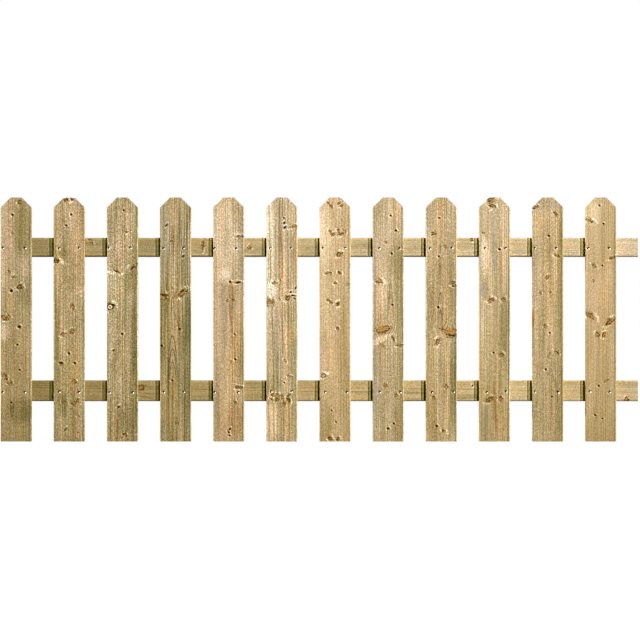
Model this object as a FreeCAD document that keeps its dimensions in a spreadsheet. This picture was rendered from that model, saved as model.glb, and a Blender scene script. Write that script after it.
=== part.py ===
"""Timber picket fence panel: upright boards with cut top corners, nailed across two rails.

Millimetres. X runs along the panel from its flush end to its open end, Y from the front to the back
and Z upwards. The origin is in the middle of the bottom rail's back face, which lies against the posts.
"""
import FreeCAD, Part
import Sketcher
import os
from math import pi

PARTS_FOLDER = "parts"

# Driving dimensions, in millimetres apart from the count
SIZES = {
    "picket_count": 12,
    "picket_width": 89,
    "picket_thickness": 18,
    "picket_length": 700,
    "picket_gap": 63.5,
    "picket_arris": 2.5,
    "corner_cut": 29,
    "rail_thickness": 34,
    "rail_arris": 4,
    "top_rail_height": 55,
    "bottom_rail_height": 60,
    "top_rail_drop": 115,
    "bottom_rail_lift": 115,
}

# Lengths and places that follow from the driving dimensions. The open end of the rails is one gap
# past the last picket, so that the next panel's first picket carries on the rhythm.
PITCH = "(sizes.picket_width + sizes.picket_gap)"
PANEL_LENGTH = f"(sizes.picket_count * {PITCH})"
FIRST_PICKET = f"(-{PANEL_LENGTH} / 2 + sizes.picket_width / 2)"
PICKET_MIDDLE_Y = "(-sizes.rail_thickness - sizes.picket_thickness / 2)"
PICKET_FOOT = "(-sizes.bottom_rail_lift - sizes.bottom_rail_height / 2)"
TOP_RAIL_Z = f"({PICKET_FOOT} + sizes.picket_length - sizes.top_rail_drop - sizes.top_rail_height / 2)"
BOTTOM_RAIL_Z = "0"

# Ends and centre of a sketch line or arc, and the sketch's own origin, as the sketcher counts them
START, END, CENTRE = 1, 2, 3
ORIGIN = (-1, START)


def make_sheet(doc):
    """The spreadsheet of driving dimensions, one named cell each."""
    sheet = doc.addObject("Spreadsheet::Sheet", "sizes")
    for row, (name, value) in enumerate(SIZES.items(), start=1):
        sheet.set(f"A{row}", name)
        sheet.set(f"B{row}", str(value))
        sheet.setAlias(f"B{row}", name)
    doc.recompute()
    return sheet


def new_body(doc, label):
    """An empty body whose label is the piece's name."""
    body = doc.addObject("PartDesign::Body", label)
    body.Label = label
    return body


def add_sketch(body, name, plane):
    """An empty sketch on one of the body's own origin planes."""
    sketch = body.newObject("Sketcher::SketchObject", name)
    support = next(item for item in body.Origin.OriginFeatures if item.Role == plane)
    sketch.AttachmentSupport = [(support, "")]
    sketch.MapMode = "FlatFace"
    return sketch


def relate(sketch, kind, *places):
    """A geometric constraint of a sketch."""
    sketch.addConstraint(Sketcher.Constraint(kind, *places))


def bind(sketch, name, rule, start, kind, *places):
    """A named dimension of a sketch, drawn at its start value and tied to a rule on the sheet."""
    relate(sketch, kind, *places, start)
    sketch.renameConstraint(sketch.ConstraintCount - 1, name)
    sketch.setExpression(f"Constraints.{name}", rule)


def draw_section(sketch, sheet, wide, high, arris):
    """The planed section of a board, centred on the sketch: a rectangle with its corners eased.

    wide, high and arris name the sheet's cells. The corners are the board's long edges.
    """
    sizes = {cell: float(getattr(sheet, cell)) for cell in (wide, high, arris)}
    right, top = FreeCAD.Vector(sizes[wide] / 2, 0, 0), FreeCAD.Vector(0, sizes[high] / 2, 0)
    corners = [-right - top, right - top, right + top, -right + top]
    across, up = FreeCAD.Vector(1, 0, 0), FreeCAD.Vector(0, 1, 0)
    ways = [way * sizes[arris] for way in (across, up, -across, -up)]
    ends = [corners[turn] - ways[turn - 1] for turn in range(4)]
    for turn in range(4):
        sketch.addGeometry(Part.LineSegment(corners[turn] + ways[turn], ends[(turn + 1) % 4]))
    for turn in range(4):
        onward = (turn + 1) % 4
        circle = Part.Circle(ends[onward] + ways[onward], FreeCAD.Vector(0, 0, 1), sizes[arris])
        sketch.addGeometry(Part.ArcOfCircle(circle, (turn - 1) * pi / 2, turn * pi / 2))
    foot, right_side, head, left_side = sides = [0, 1, 2, 3]
    rounds = [4, 5, 6, 7]
    for level, upright in ((foot, right_side), (head, left_side)):
        relate(sketch, "Horizontal", level)
        relate(sketch, "Vertical", upright)
    for side, round_corner in zip(sides, rounds):
        relate(sketch, "Tangent", side, END, round_corner, START)
        relate(sketch, "Tangent", round_corner, END, (side + 1) % 4, START)
    for other in rounds[1:]:
        relate(sketch, "Equal", rounds[0], other)
    relate(sketch, "Symmetric", rounds[0], CENTRE, rounds[2], CENTRE, *ORIGIN)
    bind(sketch, arris, f"sizes.{arris}", sizes[arris], "Radius", rounds[0])
    bind(sketch, wide, f"sizes.{wide}", sizes[wide], "DistanceX", left_side, START, right_side, START)
    bind(sketch, high, f"sizes.{high}", sizes[high], "DistanceY", foot, START, head, START)


def draw_corner_cut(sketch, sheet, name, side):
    """The waste of one 45 degree saw cut: a triangle on the picket's top corner, on side -1 or 1."""
    corner = FreeCAD.Vector(side * sheet.picket_width / 2, sheet.picket_length, 0)
    inner = corner - FreeCAD.Vector(side * sheet.corner_cut, 0, 0)
    lower = corner - FreeCAD.Vector(0, sheet.corner_cut, 0)
    first = sketch.GeometryCount
    level, slope, upright = first, first + 1, first + 2
    for begin, end in ((corner, inner), (inner, lower), (lower, corner)):
        sketch.addGeometry(Part.LineSegment(begin, end))
    for edge, onward in ((level, slope), (slope, upright), (upright, level)):
        relate(sketch, "Coincident", edge, END, onward, START)
    relate(sketch, "Horizontal", level)
    relate(sketch, "Vertical", upright)
    relate(sketch, "Equal", level, upright)
    corner_x = f"{side} * sizes.picket_width / 2"
    bind(sketch, f"{name}_x", corner_x, corner.x, "DistanceX", *ORIGIN, level, START)
    bind(sketch, f"{name}_z", "sizes.picket_length", corner.y, "DistanceY", *ORIGIN, level, START)
    bind(sketch, f"{name}_leg", "sizes.corner_cut", float(sheet.corner_cut), "Distance", level)


def make_picket(doc, sheet, label, order):
    """One upright board: planed stock cut to length, then both top corners sawn off at 45 degrees."""
    body = new_body(doc, label)
    section = add_sketch(body, f"{label}_section", "XY_Plane")
    draw_section(section, sheet, "picket_width", "picket_thickness", "picket_arris")
    stock = body.newObject("PartDesign::Pad", f"{label}_stock")
    stock.Profile = section
    stock.setExpression("Length", "sizes.picket_length")
    doc.recompute()

    waste = add_sketch(body, f"{label}_waste", "XZ_Plane")
    draw_corner_cut(waste, sheet, "flush_side", -1)
    draw_corner_cut(waste, sheet, "open_side", 1)
    cut = body.newObject("PartDesign::Pocket", f"{label}_corner_cuts")
    cut.Profile = waste
    cut.Type = "ThroughAll"
    cut.Midplane = True
    doc.recompute()
    if not cut.Shape.Volume < stock.Shape.Volume:
        raise RuntimeError(f"the corner cuts of {label} took nothing off")

    body.setExpression("Placement.Base.x", f"{FIRST_PICKET} + {order} * {PITCH}")
    body.setExpression("Placement.Base.y", PICKET_MIDDLE_Y)
    body.setExpression("Placement.Base.z", PICKET_FOOT)
    return body


def make_rail(doc, sheet, label, height, middle_z):
    """One rail: planed stock along the whole panel, its back in the plane of the posts' faces."""
    body = new_body(doc, label)
    section = add_sketch(body, f"{label}_section", "YZ_Plane")
    draw_section(section, sheet, "rail_thickness", height, "rail_arris")
    stock = body.newObject("PartDesign::Pad", f"{label}_stock")
    stock.Profile = section
    stock.Midplane = True
    stock.setExpression("Length", PANEL_LENGTH)
    body.setExpression("Placement.Base.y", "-sizes.rail_thickness / 2")
    body.setExpression("Placement.Base.z", middle_z)
    return body


def check(doc, pieces):
    """Stops the build if anything in the document failed to compute or a piece isn't one sound solid."""
    for item in doc.Objects:
        if {"Invalid", "Error"} & set(item.State):
            raise RuntimeError(f"{item.Label} failed: {item.State}")
    for piece in pieces:
        shape = piece.Shape
        if shape.isNull() or not shape.isValid() or len(shape.Solids) != 1:
            raise RuntimeError(f"{piece.Label} isn't one valid solid")


def main():
    doc = FreeCAD.newDocument("picket_fence_panel")
    sheet = make_sheet(doc)
    pieces = [
        make_rail(doc, sheet, "top_rail", "top_rail_height", TOP_RAIL_Z),
        make_rail(doc, sheet, "bottom_rail", "bottom_rail_height", BOTTOM_RAIL_Z),
    ]
    for order in range(int(sheet.picket_count)):
        pieces.append(make_picket(doc, sheet, f"picket_{order + 1:02d}", order))
    doc.recompute()
    check(doc, pieces)
    os.makedirs(PARTS_FOLDER, exist_ok=True)
    for piece in pieces:
        piece.Shape.exportStep(os.path.join(PARTS_FOLDER, f"{piece.Label}.step"))
        box = piece.Shape.BoundBox
        print(
            f"{piece.Label}: x {box.XMin:.1f} to {box.XMax:.1f}, y {box.YMin:.1f} to {box.YMax:.1f}, "
            f"z {box.ZMin:.1f} to {box.ZMax:.1f}, {piece.Shape.Volume / 1000:.1f} cm3"
        )


main()
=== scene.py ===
"""Picket fence panel, dressed: softwood boards with their own grain and knots, nails and a plain studio.

Metres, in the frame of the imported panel: X along the panel, Y from front to back, Z up. What a board has of
its own, such as knots and tints, is in millimetres, across from its middle line and up from its foot.
"""

from math import atan, pi, radians
from random import Random
from typing import NamedTuple

import bmesh
import bpy
from bpy.props import FloatProperty, FloatVectorProperty, PointerProperty
from mathutils import Euler, Matrix, Vector, noise


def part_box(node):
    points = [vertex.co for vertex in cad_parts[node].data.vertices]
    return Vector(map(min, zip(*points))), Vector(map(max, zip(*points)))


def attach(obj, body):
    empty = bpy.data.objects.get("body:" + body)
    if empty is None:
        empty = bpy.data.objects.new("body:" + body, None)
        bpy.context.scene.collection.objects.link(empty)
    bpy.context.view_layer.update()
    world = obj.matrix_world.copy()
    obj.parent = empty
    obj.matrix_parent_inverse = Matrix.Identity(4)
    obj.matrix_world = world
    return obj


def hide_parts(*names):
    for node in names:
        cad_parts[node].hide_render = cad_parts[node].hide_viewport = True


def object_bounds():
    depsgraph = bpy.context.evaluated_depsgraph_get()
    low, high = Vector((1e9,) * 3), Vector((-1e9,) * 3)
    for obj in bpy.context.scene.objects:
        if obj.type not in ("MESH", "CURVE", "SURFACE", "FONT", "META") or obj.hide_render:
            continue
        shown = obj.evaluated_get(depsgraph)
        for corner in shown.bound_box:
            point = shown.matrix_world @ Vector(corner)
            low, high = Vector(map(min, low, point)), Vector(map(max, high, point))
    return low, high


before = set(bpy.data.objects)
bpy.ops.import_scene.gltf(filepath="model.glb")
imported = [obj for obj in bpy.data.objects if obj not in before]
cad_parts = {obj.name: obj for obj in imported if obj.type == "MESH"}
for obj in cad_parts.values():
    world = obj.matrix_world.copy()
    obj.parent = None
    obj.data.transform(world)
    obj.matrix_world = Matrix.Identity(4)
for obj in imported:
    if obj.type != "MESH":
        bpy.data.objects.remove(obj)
CAD_LOW, CAD_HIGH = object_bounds()

bl_info = {
    "name": "Picket Fence Panel",
    "version": (1, 0, 0),
    "blender": (4, 5, 0),
    "location": "3D View > Sidebar > Fence",
    "description": "Dresses a picket fence panel in softwood, nails it and sets it in a plain studio",
    "category": "Object",
}

MM = 0.001
ACROSS, UP = 0, 2

# How far in from its long edges a picket is paler, from wear and painted highlight
EDGE_BAND = 3.2 * MM

# Where the strips painted on a rail beside a picket end: its painted deep shadow, the painted tint of its
# half shadow, a painted dark line at the shadow's edge and a painted bright line beyond it
CORNER_SHADOW_END = 5 * MM
HALF_SHADOW_END = 10.92 * MM
SHADOW_LINE_END = 14 * MM
BRIGHT_LINE_END = 16.8 * MM
BRIGHT_LINE_SHARE = 0.4
STRIP_SOFT = 0.3 * MM

# Dents along the long edges: how many there are in a metre, the part of the noise that makes none, and
# how far in from the edge they reach
DENTS_ACROSS, DENTS_ALONG = 70, 22
DENT_ONSET = 0.15
DENT_REACH = 6 * MM

# A board's outermost strip takes up less of its bend, down to this share at the edge itself
EDGE_STRIP = 1 * MM
EDGE_BEND = 0.5

# What is this near the front is on the face. Hollows in it: how many radii they reach, and how deep
FACE_DEPTH = 0.2 * MM
KNOT_HOLLOW_REACH, KNOT_HOLLOW = 1.4, 0.25 * MM
NAIL_HOLLOW_REACH, NAIL_HOLLOW = 2.2, 1.25 * MM

# A chip is as deep as this share of its radius, and points at the middle line this far below it
CHIP_DEPTH = 0.5
CHIP_AIM = 40 * MM

# The painted shadow by a nail's head, up and left of it, and how far a nail strays up or down: millimetres
NAIL_SHADOW_OFFSET = 2.1
NAIL_SHADOW_RADIUS = 3.4
NAIL_STRAY = 1.5

# How much a nail leans, in radians, and the seed of the leans
NAIL_LEAN = 0.12
NAIL_SEED = 5

# How far apart two boards' dents and their grain are in the noise
DENT_STEP = 5
GRAIN_STEP = 7.3

# How far the floor reaches, how much of its white a shadow can take, and how much light it sends back
FLOOR_REACH = 20
FLOOR_SHADOW = 0.06
FLOOR_BOUNCE = 0.03

# How far right of the panel's middle and below it the camera is
VIEW_SHIFT = 1.4 * MM

# Edges between faces that turn more than this look sharp. An edge runs along an axis if it goes at least
# this share of its length that way, and points nearer than this are one.
SHARP_ANGLE = radians(35)
STRAIGHT = 0.999
TINY = 1e-6


def linear(red, green, blue):
    """A colour as a picture shows it, from 0 to 255, as the light that nodes and settings take."""
    shown = (part / 255 for part in (red, green, blue))
    return tuple(share / 12.92 if share < 0.04 else ((share + 0.055) / 1.055) ** 2.4 for share in shown)


class Knot(NamedTuple):
    """The end of a branch. stretch lengthens it along its slope, in degrees, rising to the right."""

    across: float
    up: float
    radius: float
    kind: str
    stretch: float = 1.0
    slope: float = 0.0


class Tint(NamedTuple):
    """A soft-edged patch of another tone, with its half width and half height."""

    across: float
    up: float
    half_width: float
    half_height: float
    tone: str
    share: float
    slope: float = 0.0


class Arch(NamedTuple):
    """Nested arches of dark grain, from the outer one's top, where the saw met the rings at a slant."""

    across: float
    up: float
    half_width: float
    length: float
    lines: float
    share: float
    slope: float = 0.0


class Chip(NamedTuple):
    """A bit broken off an edge."""

    across: float
    up: float
    radius: float


class Board(NamedTuple):
    """One board: its average colour, how it was sawn from the log, and what the log left in it.

    pith is where the log's middle line passes, across and behind the face; rise is how fast it draws away
    towards the top, which makes the grain's arches; ring is the width of a year's growth. contrast is how
    far dark and pale streaks differ, and green how much of the preservative shows. nails are two distances
    from the left edge at the top rail and two at the bottom one. fade is how much darker or paler the wood
    is at its foot and at its head, and fine how strongly thin lines and specks show.
    """

    timber: tuple
    pith: tuple
    rise: float
    ring: float
    contrast: float
    green: float
    knots: tuple
    tints: tuple = ()
    nails: tuple = ()
    fade: tuple = (-0.17, 0.20)
    arches: tuple = ()
    chips: tuple = ()
    fine: tuple = (1.0, 1.0)


class Grain(NamedTuple):
    """One noise of the softwood: its grains' size in millimetres, and how far it swings the darkness."""

    width: float
    length: float
    swing: float
    detail: float = 1.0
    warp: float = 0.0


GRAINS = {
    "blotch": Grain(40, 100, 0.6),
    "broad": Grain(22, 500, 0.8),
    "middle": Grain(9.5, 280, 1.0, 2.0),
    "narrow": Grain(4, 220, 1.3),
    "speck": Grain(2.4, 4, 4.5, 2.0, 0.8),
    "fibre": Grain(0.8, 20, 0.5),
}

# How many radii away the nearest knot is before any has been placed
FAR_OFF = 99.0

# How dark a kind of knot is, from orange to black, how strongly it shows, and how much cream, pale clear wood
# with painted highlight, is by it.
# Cream above RINGED also gives it rings and an even outline.
RINGED = 1.1
KNOT_KINDS = {
    "orange": (0.30, 0.85, 0.4),
    "tan": (0.42, 0.95, 1.0),
    "moon": (0.15, 0.95, 0.3),
    "eye": (0.55, 0.95, 0.3),
    "ring": (0.55, 0.95, 1.2),
    "faint": (0.45, 0.60, 0.6),
    "live": (0.40, 0.95, 1.0),
    "slash": (0.48, 0.95, 1.0),
    "dead": (0.95, 0.95, 1.0),
    "pin": (2.40, 1.00, 0.65),
    # A nail's spot is a painted shadow in the dent by its head, with a little painted highlight beside it.
    "nail": (2.40, 1.00, 0.2),
}

# What a patch of another tone multiplies the wood's colour by
TINTS = {
    "olive": (0.73, 0.73, 0.54),
    "green": (0.57, 0.61, 0.46),
    "grey": (0.77, 0.81, 0.89),
    "blush": (1.26, 1.20, 1.38),
    "honey": (1.18, 1.05, 0.86),
    "pale": (1.26, 1.28, 1.36),
    "cream": (1.55, 1.68, 2.05),
    "brown": (0.84, 0.66, 0.46),
    "dark": (0.62, 0.60, 0.52),
    "resin": (0.80, 0.52, 0.12),
}

# From left to right. The thin cream strips by the knots are painted highlights.
PICKETS = (
    Board(
        timber=(165, 143, 98), pith=(-60, 50), rise=0.004, ring=4.4, contrast=0.93, green=0.4,
        fine=(0.85, 1.05), nails=((8, 72), (8, 72)),
        knots=(
            Knot(10, 687, 5.1, "live"), Knot(-10, 650, 3.4, "pin"), Knot(-10, 598, 3.7, "faint"),
            Knot(-19, 486, 2.6, "slash", 2.0, -55), Knot(-6, 472, 3.0, "slash", 1.7, 15),
            Knot(11, 443, 7.0, "dead"), Knot(-13, 432, 4.3, "pin"), Knot(-36, 357, 5.2, "live", 1.3, -30),
            Knot(-27, 353, 5.2, "live", 1.3, 30), Knot(-22, 361, 2.6, "dead", 2.0, -40),
            Knot(10, 329, 4.4, "pin"), Knot(4, 278, 3.0, "pin"), Knot(10, 206, 2.9, "pin"),
            Knot(-33, 186, 5.4, "slash", 1.8, -45), Knot(-19, 169, 5.4, "live"),
            Knot(-13, 112, 2.9, "pin"),
        ),
        tints=(
            Tint(-26, 570, 20, 120, "blush", 0.9), Tint(20, 600, 24, 70, "olive", 0.8),
            Tint(22, 505, 20, 30, "blush", 0.5), Tint(20, 425, 22, 48, "green", 0.7),
            Tint(-14, 400, 12, 34, "honey", 0.6), Tint(-32, 312, 15, 26, "blush", 1.0),
            Tint(-36, 312, 10, 22, "cream", 0.5), Tint(-38, 560, 9, 130, "pale", 0.6),
            Tint(-40, 235, 5, 50, "honey", 0.7), Tint(8, 86, 40, 36, "green", 0.65),
            Tint(34, 90, 14, 34, "olive", 0.6), Tint(-6, 481, 5, 3, "cream", 1.0),
            Tint(-16, 426, 3, 4, "cream", 0.9),
        ),
        arches=(Arch(-11.5, 72, 7, 56, 2.5, 1.0, 180),),
    ),
    Board(
        timber=(172, 149, 103), pith=(70, 40), rise=0.004, ring=5.2, contrast=1.12, green=0.5,
        nails=((18, 75), (18, 74)),
        knots=(
            Knot(-11, 695, 6.3, "dead", 1.4, -50), Knot(9, 698, 5.3, "dead", 1.4, 40),
            Knot(6, 651, 3.4, "pin"), Knot(-9, 620, 3.4, "pin"), Knot(-37, 519, 6.4, "dead", 1.3, -15),
            Knot(9, 386, 5.0, "live", 1.2, -50), Knot(-17, 308, 4.8, "live", 1.3, 25),
            Knot(9, 316, 5.2, "live", 1.2, 60), Knot(-1, 253, 3.4, "pin"),
            Knot(-23, 225, 3.8, "pin", 1.4), Knot(16, 225, 3.4, "pin"),
            Knot(14, 172, 4.8, "live", 1.2, -30), Knot(-14, 112, 4.2, "live", 1.4, -30),
            Knot(13, 110, 4.2, "live", 1.5, 20), Knot(23, 117, 3.6, "live", 1.6, 35),
            Knot(26, 72, 3.5, "faint"), Knot(-11, 34, 2.2, "dead", 2.6, 55), Knot(26, 26, 3.5, "faint"),
        ),
        tints=(
            Tint(4, 630, 36, 80, "blush", 0.6), Tint(4, 650, 6, 50, "pale", 0.7),
            Tint(32, 520, 14, 90, "blush", 0.4), Tint(-20, 538, 18, 14, "olive", 0.9),
            Tint(-18, 512, 16, 4, "cream", 0.8, -20), Tint(36, 428, 14, 30, "blush", 0.8, 40),
            Tint(6, 455, 22, 24, "olive", 0.5), Tint(18, 205, 18, 70, "honey", 0.5),
            Tint(-34, 260, 10, 180, "olive", 0.9), Tint(-20, 104, 14, 36, "green", 0.7),
            Tint(30, 430, 14, 2.4, "cream", 0.6, 32),
        ),
        chips=(Chip(-14, 700, 6), Chip(1, 701, 4), Chip(12, 700, 6)),
    ),
    Board(
        timber=(169, 148, 102), pith=(-80, 45), rise=0.004, ring=5.0, contrast=1.27, green=0.5,
        nails=((8, 70), (10, 76)),
        knots=(
            Knot(4, 663, 3.0, "pin"), Knot(13, 600, 2.8, "tan", 1.3, 40),
            Knot(-20, 489, 2.0, "pin", 3.0, -35), Knot(-11, 485, 2.8, "tan", 2.4, -40),
            Knot(29, 497, 2.1, "pin", 3.4, 42), Knot(36, 505, 2.8, "tan", 3.0, 42),
            Knot(-35, 386, 10.0, "ring"), Knot(-34.5, 384, 1.9, "pin"),
            Knot(-31, 392.5, 2.3, "pin", 2.3, -32), Knot(-1, 309, 3.4, "pin"),
            Knot(-24, 262, 2.0, "pin", 2.0, 45), Knot(33, 248, 4.1, "faint"),
            Knot(-11, 99, 2.3, "pin", 2.2, 55), Knot(7, 20, 4.0, "dead", 1.3, -30),
        ),
        tints=(
            Tint(-34, 620, 8, 60, "grey", 0.9), Tint(0, 590, 26, 110, "blush", 0.7),
            Tint(39, 580, 7, 120, "olive", 1.0), Tint(-30, 484, 16, 5, "cream", 1.0, -14),
            Tint(-4, 480, 10, 5, "cream", 1.0, 20), Tint(14, 500, 10, 4, "cream", 0.9, 40),
            Tint(33, 502, 14, 2.4, "cream", 1.0, 42), Tint(-29, 266, 6, 2.4, "cream", 1.0, 40),
            Tint(-17, 96, 6, 2.4, "cream", 1.0, -30), Tint(-8, 105, 5, 2.4, "cream", 1.0, 40),
            Tint(13, 596, 3, 3, "cream", 0.8), Tint(-27, 399, 8, 5, "cream", 0.4, -30),
            Tint(24, 455, 20, 36, "olive", 0.8), Tint(-16, 450, 20, 36, "pale", 0.5),
            Tint(32, 300, 8, 120, "green", 1.0), Tint(34, 150, 12, 110, "olive", 0.6),
            Tint(20, 70, 28, 40, "green", 0.5), Tint(2, 245, 7, 70, "honey", 0.4),
        ),
    ),
    Board(
        timber=(159, 139, 93), pith=(-70, 40), rise=0.003, ring=4.6, contrast=1.3, green=0.6,
        fine=(2.0, 0.75), nails=((12, 69), (13, 70)),
        knots=(
            Knot(-26, 620, 2.5, "pin", 1.9, 55), Knot(-11, 575, 3.4, "live"),
            Knot(23, 532, 3.0, "dead", 1.5, 60), Knot(-36, 415, 9.0, "live", 1.2, -15),
            Knot(19, 426, 6.1, "slash", 2.4, 38), Knot(12, 323, 2.8, "pin", 1.4, -50),
            Knot(-40, 275, 3.4, "pin"), Knot(-9, 175, 3.0, "pin"), Knot(4, 52, 3.8, "live"),
        ),
        tints=(
            Tint(-8, 570, 9, 150, "blush", 1.0), Tint(-30, 580, 14, 110, "grey", 0.6),
            Tint(24, 560, 16, 100, "grey", 0.7), Tint(38, 437, 9, 7, "cream", 0.9, 35),
            Tint(32, 335, 15, 90, "green", 0.85), Tint(-36, 330, 9, 100, "olive", 0.8),
            Tint(-6, 350, 14, 110, "honey", 0.4), Tint(3, 352, 1.5, 27, "dark", 1.0, 20),
            Tint(2.5, 570, 1.2, 130, "dark", 0.5), Tint(33, 140, 12, 110, "green", 0.5),
            Tint(-12, 120, 24, 90, "honey", 0.4),
        ),
        arches=(Arch(-8, 303, 19, 170, 4.5, 1.0), Arch(-8, 443, 6, 90, 3, 0.9)),
    ),
    Board(
        timber=(192, 165, 122), pith=(90, 60), rise=0.004, ring=5.6, contrast=0.86, green=0.4,
        fine=(0.7, 1.05), nails=((6, 68), (7, 73)),
        knots=(
            Knot(31, 588, 2.6, "slash", 3.4, 6), Knot(4, 458, 3.4, "pin"),
            Knot(27, 456, 3.0, "pin", 2.6, 12), Knot(-4, 404, 3.4, "live"), Knot(14, 406, 3.4, "live"),
            Knot(17, 308, 2.6, "pin"), Knot(19, 236, 2.9, "pin"), Knot(6, 229, 3.1, "live"),
            Knot(24, 156, 4.2, "dead", 1.2, 30), Knot(34, 155, 3.8, "dead", 1.6, 10),
            Knot(19, 112, 3.4, "live"), Knot(4, 36, 2.8, "pin", 1.5, 55),
            Knot(0, 27, 2.6, "pin", 1.3, -50), Knot(3, 17, 2.6, "pin"),
        ),
        tints=(
            Tint(-8, 585, 30, 115, "cream", 0.5), Tint(-14, 475, 20, 20, "cream", 0.5),
            Tint(36, 570, 9, 110, "grey", 0.8), Tint(-12, 405, 26, 50, "grey", 0.5),
            Tint(7, 400, 9, 60, "brown", 0.3), Tint(-8, 320, 8, 60, "grey", 0.7),
            Tint(1, 410, 1.8, 45, "brown", 1.0, 1), Tint(12, 424, 2.0, 32, "brown", 1.0, 7),
            Tint(12, 297, 2.2, 78, "brown", 1.0, 6.5), Tint(12, 240, 7, 120, "honey", 0.7),
            Tint(27, 597, 16, 4, "cream", 0.7), Tint(18, 463, 12, 2.2, "cream", 0.8, 8),
            Tint(33, 260, 9, 110, "olive", 0.9), Tint(-8, 150, 8, 110, "pale", 0.6),
            Tint(-34, 150, 10, 130, "grey", 0.6), Tint(20, 65, 24, 56, "brown", 0.6),
        ),
    ),
    Board(
        timber=(197, 173, 130), pith=(-50, 40), rise=0.01, ring=6.4, contrast=1.1, green=0.4,
        fine=(0.9, 0.85), nails=((13, 73), (16, 74)),
        knots=(
            Knot(6, 641, 2.7, "pin"), Knot(7, 627, 2.9, "pin", 1.3, 80),
            Knot(9, 614, 3.2, "pin", 1.4, 60), Knot(36, 617, 3.8, "slash", 2.6, 20),
            Knot(-23, 455, 4.7, "live", 1.6), Knot(-4, 462, 2.4, "pin"),
            Knot(-37, 399, 9.2, "orange", 1.2, 10), Knot(17, 412, 5.6, "tan", 1.3, 35),
            Knot(29, 419, 2.2, "pin", 3.0, 12), Knot(36, 411, 1.8, "pin", 3.0, -6),
            Knot(25, 429, 2.0, "pin", 2.0, 50), Knot(40, 441, 2.5, "pin", 1.5, 80),
            Knot(-7, 408, 3.4, "tan"), Knot(23, 187, 3.0, "tan", 1.8, 0),
            Knot(9, 232, 2.8, "tan", 1.8, -50), Knot(7, 169, 2.6, "pin"),
            Knot(-27, 135, 3.2, "dead", 1.6, 40), Knot(-14, 131, 5.2, "slash", 1.3, 30),
            Knot(-29, 122, 2.6, "dead", 2.0, -20), Knot(-15, 119, 3.4, "slash", 1.8, 25),
            Knot(-1, 128, 3.2, "slash", 2.0, -55), Knot(18, 120, 4.2, "dead", 1.7, -50),
            Knot(7, 109, 2.8, "slash", 1.8, -60), Knot(21, 134, 2.4, "dead", 2.4, 45),
        ),
        tints=(
            Tint(-35, 550, 12, 150, "cream", 0.75), Tint(-28, 435, 15, 26, "cream", 0.7),
            Tint(0, 600, 13, 100, "grey", 0.8), Tint(24, 550, 5, 120, "grey", 0.7),
            Tint(-16, 640, 1.6, 55, "dark", 0.7, -3), Tint(-8, 625, 1.5, 70, "dark", 0.6, -2),
            Tint(3, 655, 1.6, 45, "dark", 0.7, 2), Tint(11, 620, 1.6, 70, "dark", 0.5, 4),
            Tint(33, 590, 1.8, 40, "olive", 1.0, -25), Tint(19, 515, 2.0, 70, "dark", 0.6),
            Tint(32, 520, 6, 60, "olive", 0.8), Tint(-1, 560, 2.2, 45, "brown", 1.0, 4),
            Tint(2, 505, 2.2, 30, "brown", 1.0, 0), Tint(-5, 450, 3.0, 45, "brown", 1.0, -8),
            Tint(-15, 280, 8, 120, "grey", 1.0), Tint(-22, 290, 1.6, 110, "dark", 0.8, 4),
            Tint(-8, 330, 1.5, 70, "dark", 0.6, 5), Tint(2, 315, 2.4, 95, "brown", 1.0, 5),
            Tint(9, 370, 3, 36, "dark", 0.9, 3), Tint(20, 360, 2, 50, "dark", 0.8),
            Tint(30, 320, 2, 80, "olive", 1.0, 3), Tint(26, 300, 8, 110, "olive", 0.4),
            Tint(24, 305, 12, 30, "honey", 0.6), Tint(-22, 165, 20, 28, "green", 0.7),
            Tint(-24, 58, 18, 48, "cream", 0.5), Tint(20, 60, 22, 60, "honey", 0.5),
            Tint(-8, 80, 1.8, 26, "brown", 1.0), Tint(33, 424, 8, 1.6, "cream", 1.0, -10),
            Tint(31, 414, 8, 1.5, "cream", 1.0, -4), Tint(-20, 139, 6, 2, "cream", 1.0, 25),
            Tint(-20, 127, 8, 1.8, "cream", 1.0, 10), Tint(12, 128, 5, 1.8, "cream", 1.0, -45),
            Tint(0, 117, 6, 1.8, "cream", 0.9, -40), Tint(-4, 118, 32, 16, "olive", 0.7),
        ),
    ),
    Board(
        timber=(201, 173, 126), pith=(75, 60), rise=0.003, ring=5.0, contrast=0.66, green=0.2,
        fine=(0.65, 1.1), nails=((12, 76), (18, 81)),
        knots=(
            Knot(-19, 683, 2.6, "tan", 1.9, -40), Knot(-11, 675, 3.0, "tan", 1.8, -50),
            Knot(12, 684, 2.6, "tan", 1.8, 50), Knot(19, 677, 3.0, "tan", 1.7, 35),
            Knot(17, 638, 2.9, "faint"), Knot(-13, 601, 3.2, "tan", 1.7, -45),
            Knot(-6, 594, 4.0, "tan", 1.5, 45), Knot(10, 603, 3.8, "tan", 1.6, -50),
            Knot(18, 596, 4.4, "tan", 1.5, 40), Knot(26, 603, 3.2, "tan", 1.8, -45),
            Knot(12, 537, 5.4, "tan", 1.4, 40), Knot(-23, 483, 3.4, "tan", 1.5, 30),
            Knot(-14, 483, 3.0, "tan", 1.6, -30), Knot(13, 484, 3.8, "dead", 1.3, -40),
            Knot(0, 455, 4.0, "dead"), Knot(36, 451, 3.2, "faint", 2, 10),
            Knot(-19, 405, 3.4, "tan", 1.7, -30), Knot(-12, 399, 3.6, "tan", 1.3, -40),
            Knot(9, 395, 4.6, "dead", 1.3, 70), Knot(7, 325, 4.0, "dead"),
            Knot(-33, 189, 5.2, "ring", 1.3, 20), Knot(-9, 89, 2.4, "pin"), Knot(3, 56, 2.6, "pin"),
            Knot(-14, 9, 5.3, "dead"), Knot(9, 7, 4.9, "dead"),
        ),
        tints=(
            Tint(-28, 590, 20, 100, "cream", 0.55), Tint(-30, 400, 14, 80, "pale", 0.5),
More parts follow.
